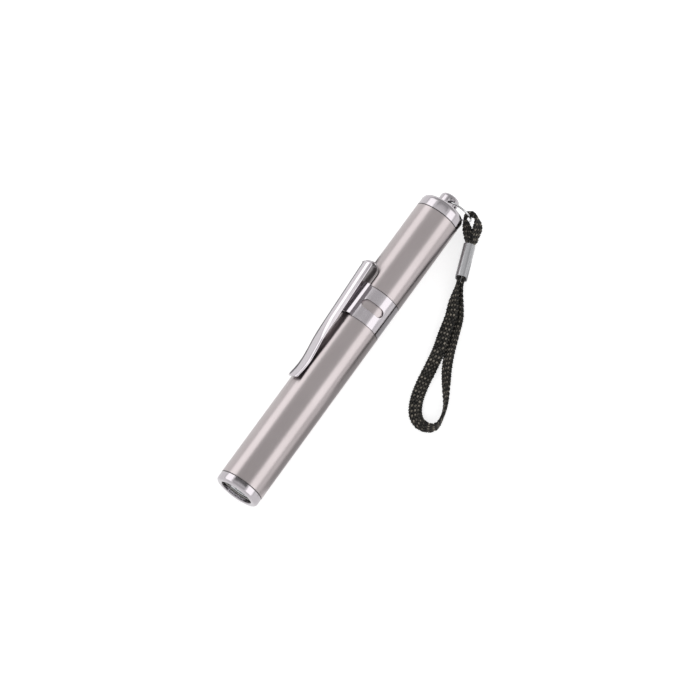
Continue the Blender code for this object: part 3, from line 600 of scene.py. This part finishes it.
# The braid's form: the strand heights that the crossing takes from the thickness, how sharply a strand
# turns back at the edge, how flat the tube is pressed, and the share of its height by which a strand waves.
STRANDS_DEEP = 1.6
EDGE_TURN = 0.97
TUBE_FLATNESS = 0.45
STRAND_WAVE = 0.4

# The flecks, painted highlights on the strands' tops: how narrow they are along a strand, and how bright on
# the strands that lean either way, one hand painted brighter as if lit from its side.
HIGHLIGHT_POWER = 1.6
HIGHLIGHT_LIT_HAND = 1.0
HIGHLIGHT_SHADED_HAND = 0.15

# The strap's middle line in metres, and its lean in degrees: 0 stands on edge, 90 or -90 lies flat.
# It starts and ends in the ferrule, goes round the ring, back through the ferrule and round the hand loop.
# The eye's strands and the legs by the ferrule lie slightly closer together than on the CAD solid.
STRAP_ROUTE = [
    (-0.04233, 0.01431, 0.00260, 0),
    (-0.04456, 0.01346, 0.00260, 0),
    (-0.04699, 0.01253, 0.00260, 0),
    (-0.04870, 0.01225, 0.00320, -24),
    (-0.05040, 0.01165, 0.00420, -40),
    (-0.05210, 0.01115, 0.00520, -40),
    (-0.05350, 0.01020, 0.00570, -26),
    (-0.05440, 0.00890, 0.00580, -6),
    (-0.05440, 0.00750, 0.00570, 0),
    (-0.05350, 0.00645, 0.00550, 0),
    (-0.05200, 0.00685, 0.00520, -3),
    (-0.05020, 0.00875, 0.00450, -36),
    (-0.04840, 0.01010, 0.00360, -24),
    (-0.04653, 0.01132, 0.00260, 0),
    (-0.04410, 0.01224, 0.00260, 0),
    (-0.04167, 0.01317, 0.00260, 0),
    (-0.03924, 0.01409, 0.00260, 0),
    (-0.03681, 0.01501, 0.00260, 0),
    (-0.03489, 0.01586, 0.00265, -9),
    (-0.03239, 0.01674, 0.00275, -26),
    (-0.02998, 0.01778, 0.00290, -46),
    (-0.02760, 0.01893, 0.00290, -60),
    (-0.02521, 0.01995, 0.00275, -69),
    (-0.02004, 0.02127, 0.00235, -80),
    (-0.01491, 0.02269, 0.00195, -85),
    (-0.00967, 0.02355, 0.00100, -90),
    (-0.00431, 0.02436, 0.00075, -90),
    (0.00060, 0.02565, 0.00075, -90),
    (0.00420, 0.02755, 0.00095, -80),
    (0.00610, 0.02980, 0.00160, -58),
    (0.00650, 0.03200, 0.00200, -38),
    (0.00590, 0.03400, 0.00210, -22),
    (0.00420, 0.03520, 0.00210, -8),
    (0.00140, 0.03500, 0.00210, 4),
    (-0.00231, 0.03373, 0.00210, 12),
    (-0.00680, 0.03090, 0.00210, 30),
    (-0.01136, 0.02799, 0.00210, 44),
    (-0.01606, 0.02572, 0.00200, 50),
    (-0.02105, 0.02394, 0.00190, 46),
    (-0.02597, 0.02196, 0.00175, 50),
    (-0.02826, 0.02066, 0.00180, 47),
    (-0.03052, 0.01922, 0.00190, 40),
    (-0.03286, 0.01795, 0.00215, 24),
    (-0.03528, 0.01688, 0.00245, 8),
    (-0.03727, 0.01623, 0.00260, 0),
    (-0.03970, 0.01530, 0.00260, 0),
    (-0.04194, 0.01446, 0.00260, 0),
]

strap_run, strap_stations = smooth_run(STRAP_ROUTE, STRAP_STEP)
centre = strap_run[:, :3]
lean = np.radians(strap_run[:, 3])[:, None]
tangent = np.gradient(centre, axis=0)
tangent /= np.linalg.norm(tangent, axis=1, keepdims=True)
upright = np.array((0.0, 0.0, 1.0)) - tangent * tangent[:, 2:]
upright /= np.linalg.norm(upright, axis=1, keepdims=True)
sideways = np.cross(tangent, upright)
across = np.cos(lean) * upright + np.sin(lean) * sideways
through = np.cross(tangent, across)
half_width = (STRAP_WIDTH - STRAND_HEIGHT) / 2
half_thick = (STRAP_THICKNESS - STRANDS_DEEP * STRAND_HEIGHT) / 2
strap_vertices = []
strap_faces = []
strand_highlights = []


def lay_strand(line, beside, outward, half_width, half_height, highlight_share):
    """Sweep one oval strand along its line: the last argument is how much painted highlight its upper face
    takes where it lies on top of the braid.
    """
    first = len(strap_vertices)
    around = [2 * pi * side / STRAND_SIDES for side in range(STRAND_SIDES)]
    rings = [line + beside * (half_width * cos(a)) + outward * (half_height * sin(a)) for a in around]
    strap_vertices.extend(np.stack(rings, axis=1).reshape(-1, 3))
    for face in tube_faces(len(line), STRAND_SIDES):
        strap_faces.append(tuple(first + corner for corner in face))
    # A strand's upper face takes the painted highlight, in the share given.
    strand_highlights.extend(np.outer(highlight_share, [max(sin(a), 0.0) for a in around]).reshape(-1))


# One hand of strands takes a brighter painted highlight than the other, as if lit from its side.
for handed, hand_highlight in ((1, HIGHLIGHT_LIT_HAND), (-1, HIGHLIGHT_SHADED_HAND)):
    for strand in range(STRAP_STRANDS):
        turn = 2 * pi * (strand / STRAP_STRANDS + handed * strap_stations / STRAP_LAY)
        flat = np.arcsin(EDGE_TURN * np.cos(turn)) / np.arcsin(EDGE_TURN)
        deep = np.sign(np.sin(turn)) * np.abs(np.sin(turn)) ** TUBE_FLATNESS
        over = handed * np.cos(2 * pi * STRAP_STRANDS * strap_stations / STRAP_LAY)
        outward = across * flat[:, None] * half_thick + through * deep[:, None] * half_width
        outward /= np.linalg.norm(outward, axis=1, keepdims=True)
        line = centre + across * (flat * half_width)[:, None] + through * (deep * half_thick)[:, None]
        line = line + outward * (over * STRAND_HEIGHT * STRAND_WAVE)[:, None]
        run = np.gradient(line, axis=0)
        run /= np.linalg.norm(run, axis=1, keepdims=True)
        beside = np.cross(run, outward)
        beside /= np.linalg.norm(beside, axis=1, keepdims=True)
        highlight_share = hand_highlight * np.clip(over, 0, 1) ** HIGHLIGHT_POWER
        lay_strand(line, beside, outward, STRAND_WIDTH / 2, STRAND_HEIGHT / 2, highlight_share)
lay_strand(centre, across, through, half_width, CORE_THICKNESS / 2, 0 * strap_stations)
wrist_braid = mesh_piece("wrist_braid", strap_vertices, strap_faces)
wrist_braid.data.shade_smooth()
# Each point's share of painted highlight is kept in the crown attribute.
wrist_braid.data.attributes.new("crown", "FLOAT", "POINT").data.foreach_set("value", strand_highlights)

# Braided polyester: each yarn is a black bundle of shiny filaments. Where it passes over the others its top
# takes a grey fleck of painted highlight, broken into patches by noise.
# The filaments are about 0.02 mm thick and are drawn at 0.12 mm to show.
braid = new_material("braided_polyester")
place = add(braid, "ShaderNodeTexCoord").outputs["Object"]
filaments = add(braid, "ShaderNodeTexNoise", {"Vector": place, "Scale": 1 / FILAMENT, "Detail": 2.0})
relief = add(
    braid,
    "ShaderNodeBump",
    {"Height": filaments.outputs["Fac"], "Strength": 0.4, "Distance": 0.03 * MM},
)
# The painted highlight: the crown share times noise patches, mixing the black yarn towards grey.
crown = add(braid, "ShaderNodeAttribute", attribute_name="crown").outputs["Fac"]
highlight_breakup = add(braid, "ShaderNodeTexNoise", {"Vector": place, "Scale": 1 / HIGHLIGHT_PATCH_SIZE, "Detail": 2.0})
highlight_patches = add(
    braid,
    "ShaderNodeMapRange",
    {"Value": highlight_breakup.outputs["Fac"], "From Min": 0.36, "From Max": 0.62, "To Min": 0.05, "To Max": 1.0},
)
painted_highlight = add(braid, "ShaderNodeMath", {0: crown, 1: highlight_patches.outputs["Result"]}, operation="MULTIPLY")
yarn_and_highlight = add(
    braid,
    "ShaderNodeMix",
    {"Factor": painted_highlight.outputs[0], "A": linear(BRAID_BLACK), "B": linear(BRAID_HIGHLIGHT_GREY)},
    data_type="RGBA",
)
add(
    braid,
    "Principled BSDF",
    {
        "Base Color": yarn_and_highlight.outputs["Result"],
        "Roughness": 0.6,
        "IOR": 1.57,
        "Specular IOR Level": 0.2,
        "Sheen Weight": 0.03,
        "Sheen Roughness": 0.4,
        "Normal": relief.outputs["Normal"],
    },
)
wrist_braid.data.materials.append(braid)
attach(wrist_braid, "strap")
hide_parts("wrist_strap")

# Ferrule: a short aluminium tube, tumbled after cutting and pressed flat over the strap.
# It holds the strap's two ends and closes the eye round the ring.
FERRULE_SILVER = "A5A5A7"
TUMBLE_DENT = 0.35 * MM

# Tumbled aluminium: a soft grey shine, broken up by the shallow dents that the tumbling stones leave.
aluminium = new_material("tumbled_aluminium")
place = add(aluminium, "ShaderNodeTexCoord").outputs["Object"]
dents = add(aluminium, "ShaderNodeTexNoise", {"Vector": place, "Scale": 1 / TUMBLE_DENT, "Detail": 3.0})
blur = add(aluminium, "ShaderNodeMapRange", {"Value": dents.outputs["Fac"], "To Min": 0.2, "To Max": 0.3})
relief = add(
    aluminium,
    "ShaderNodeBump",
    {"Height": dents.outputs["Fac"], "Strength": 0.15, "Distance": 0.02 * MM},
)
add(
    aluminium,
    "Principled BSDF",
    {
        "Base Color": linear(FERRULE_SILVER),
        "Metallic": 1.0,
        "Roughness": blur.outputs["Result"],
        "Normal": relief.outputs["Normal"],
    },
)
dress(nodes["strap_ferrule"], aluminium)

# Set: a floor of white paper with no edge in sight, and a white surround.
# In reflections the surround is greyer beyond the tail, which shades the polished steel there.
FLOOR_HALF = 3.0
FLOOR_DROP = 0.05 * MM
FLOOR_GLOW = 0.67
PAPER_WHITE = "C4C4C4"
SURROUND_LIGHT = 0.75
SURROUND_TAIL = 0.45
SURROUND_HEAD = 1.1
SURROUND_FADE_FROM = -1.0
SURROUND_FADE_TO = -0.3
scene = bpy.context.scene
scene.view_settings.view_transform = "Standard"


def shows_set(material):
    """Whether a ray shows the set: it comes from the camera, off a shiny face or through the lens."""
    rays = add(material, "ShaderNodeLightPath")
    shown = rays.outputs["Is Camera Ray"]
    for ray in ("Is Glossy Ray", "Is Transmission Ray"):
        either = add(material, "ShaderNodeMath", {0: shown, 1: rays.outputs[ray]}, operation="MAXIMUM")
        shown = either.outputs[0]
    return shown


# White paper: quite matt. It glows where it is seen, so it looks white and still takes the shadow.
floor_corners = [(x * FLOOR_HALF, y * FLOOR_HALF, 0) for x, y in ((-1, -1), (1, -1), (1, 1), (-1, 1))]
floor = mesh_piece("floor", floor_corners, [(0, 1, 2, 3)])
floor.location.z = -FLOOR_DROP
paper = new_material("white_seamless_paper")
glow = add(paper, "ShaderNodeMath", {0: shows_set(paper), 1: FLOOR_GLOW}, operation="MULTIPLY")
add(
    paper,
    "Principled BSDF",
    {
        "Base Color": linear(PAPER_WHITE),
        "Roughness": 0.9,
        "Specular IOR Level": 0.0,
        "Emission Color": (1, 1, 1, 1),
        "Emission Strength": glow.outputs[0],
    },
)
floor.data.materials.append(paper)

surround = bpy.data.worlds.new("white_surround")
surround.use_nodes = True
scene.world = surround
way = add(surround, "ShaderNodeTexCoord").outputs["Generated"]
part = add(surround, "ShaderNodeSeparateXYZ", {"Vector": way})
fade = add(
    surround,
    "ShaderNodeMapRange",
    {
        "Value": part.outputs["X"],
        "From Min": SURROUND_FADE_FROM,
        "From Max": SURROUND_FADE_TO,
        "To Min": SURROUND_TAIL,
        "To Max": SURROUND_HEAD,
    },
)
level = add(
    surround,
    "ShaderNodeMapRange",
    {"Value": shows_set(surround), "To Min": SURROUND_LIGHT, "To Max": fade.outputs["Result"]},
)
add(surround, "Background", {"Color": (1, 1, 1, 1), "Strength": level.outputs["Result"]})

# Cards and flags: six grey sheets that only reflections show. A card hangs overhead, paler to the tail,
# with strips under it that darken the head and the band, and a flag hangs beyond the tail.
# Two more sheets lie on the floor beside the clip and the strap as painted shade: in reflections they darken
# the floor where the clip and the strap would shade it.
SHEET_FADE_FROM = -1.0
SHEET_FADE_TO = -0.27

# Each sheet's centre, half length and half width in metres, and its brightness to the head and to the tail.
REFLECTED_SHEETS = [
    ("grey_card", (0.115, 0.0, 0.25), 0.2, 0.17, 0.74, 1.8),
    ("head_strip", (0.002, 0.0, 0.245), 0.026, 0.165, 0.16, 0.16),
    ("band_strip", (-0.078, 0.0, 0.245), 0.013, 0.165, 0.7, 0.7),
    ("tail_flag", (-0.24, 0.0, 0.25), 0.09, 0.14, 0.55, 0.55),
    # Painted shade: the floor beside the clip and beside the strap, shaded by them, as reflections see it.
    ("clip_shade_sheet", (-0.009, -0.019, 0.0005), 0.021, 0.011, 0.28, 0.28),
    ("strap_shade_sheet", (0.002, 0.02, 0.0004), 0.046, 0.011, 0.55, 0.55),
]
for name, spot, half_length, half_width, head_grey, tail_grey in REFLECTED_SHEETS:
    sheet = mesh_piece(name, [(-1, -1, 0), (1, -1, 0), (1, 1, 0), (-1, 1, 0)], [(0, 1, 2, 3)])
    sheet.scale = (half_length, half_width, 1)
    sheet.location = spot
    grey = new_material(name)
    place = add(grey, "ShaderNodeTexCoord").outputs["Object"]
    part = add(grey, "ShaderNodeSeparateXYZ", {"Vector": place})
    shade = add(
        grey,
        "ShaderNodeMapRange",
        {
            "Value": part.outputs["X"],
            "From Min": SHEET_FADE_FROM,
            "From Max": SHEET_FADE_TO,
            "To Min": tail_grey,
            "To Max": head_grey,
        },
    )
    add(
        grey,
        "Principled BSDF",
        {
            "Base Color": (0, 0, 0, 1),
            "Specular IOR Level": 0.0,
            "Emission Color": (1, 1, 1, 1),
            "Emission Strength": shade.outputs["Result"],
        },
    )
    sheet.data.materials.append(grey)
    sheet.visible_camera = False
    sheet.visible_shadow = False
    sheet.visible_diffuse = False
    sheet.visible_transmission = False

# Soft boxes: two long area lamps, one along each side of the light and tipped down at its axis.
# They are low enough to lay a bright line on each flank of the barrel.
BOX_LENGTH = 0.9
BOX_HEIGHT = 0.44
BOX_POWER = 1.4
BOX_ALONG = -0.05
BOX_OUT = 0.58
BOX_UP = 0.34


def aim(item, place, at):
    """Put a lamp or the camera at a place, looking at a point."""
    gaze = Vector(at) - Vector(place)
    item.matrix_world = Matrix.Translation(place) @ gaze.to_track_quat("-Z", "Y").to_matrix().to_4x4()


for name, side in (("strap_side_box", 1), ("clip_side_box", -1)):
    light = bpy.data.lights.new(name, "AREA")
    light.shape = "RECTANGLE"
    light.size = BOX_LENGTH
    light.size_y = BOX_HEIGHT
    light.energy = BOX_POWER
    lamp = bpy.data.objects.new(name, light)
    scene.collection.objects.link(lamp)
    aim(lamp, (BOX_ALONG, side * BOX_OUT, BOX_UP), (BOX_ALONG, 0, AXIS_HEIGHT))

# Camera: above the light's head and to one side, as the photograph was taken.
# It stands more than a metre off behind a long lens, so the barrel hardly tapers with distance.
VIEW_FROM = (0.3191, 0.2221, 1.1430)
VIEW_AT = (0.000906, 0.002279, 0.007)
SENSOR_WIDTH = 36.0
FOCAL_PIXELS = 4138
PHOTO_PIXELS = 700
lens_view = bpy.data.cameras.new("camera")
lens_view.sensor_fit = "HORIZONTAL"
lens_view.sensor_width = SENSOR_WIDTH
lens_view.lens = SENSOR_WIDTH * FOCAL_PIXELS / PHOTO_PIXELS
camera = bpy.data.objects.new("camera", lens_view)
scene.collection.objects.link(camera)
aim(camera, VIEW_FROM, VIEW_AT)
scene.camera = camera
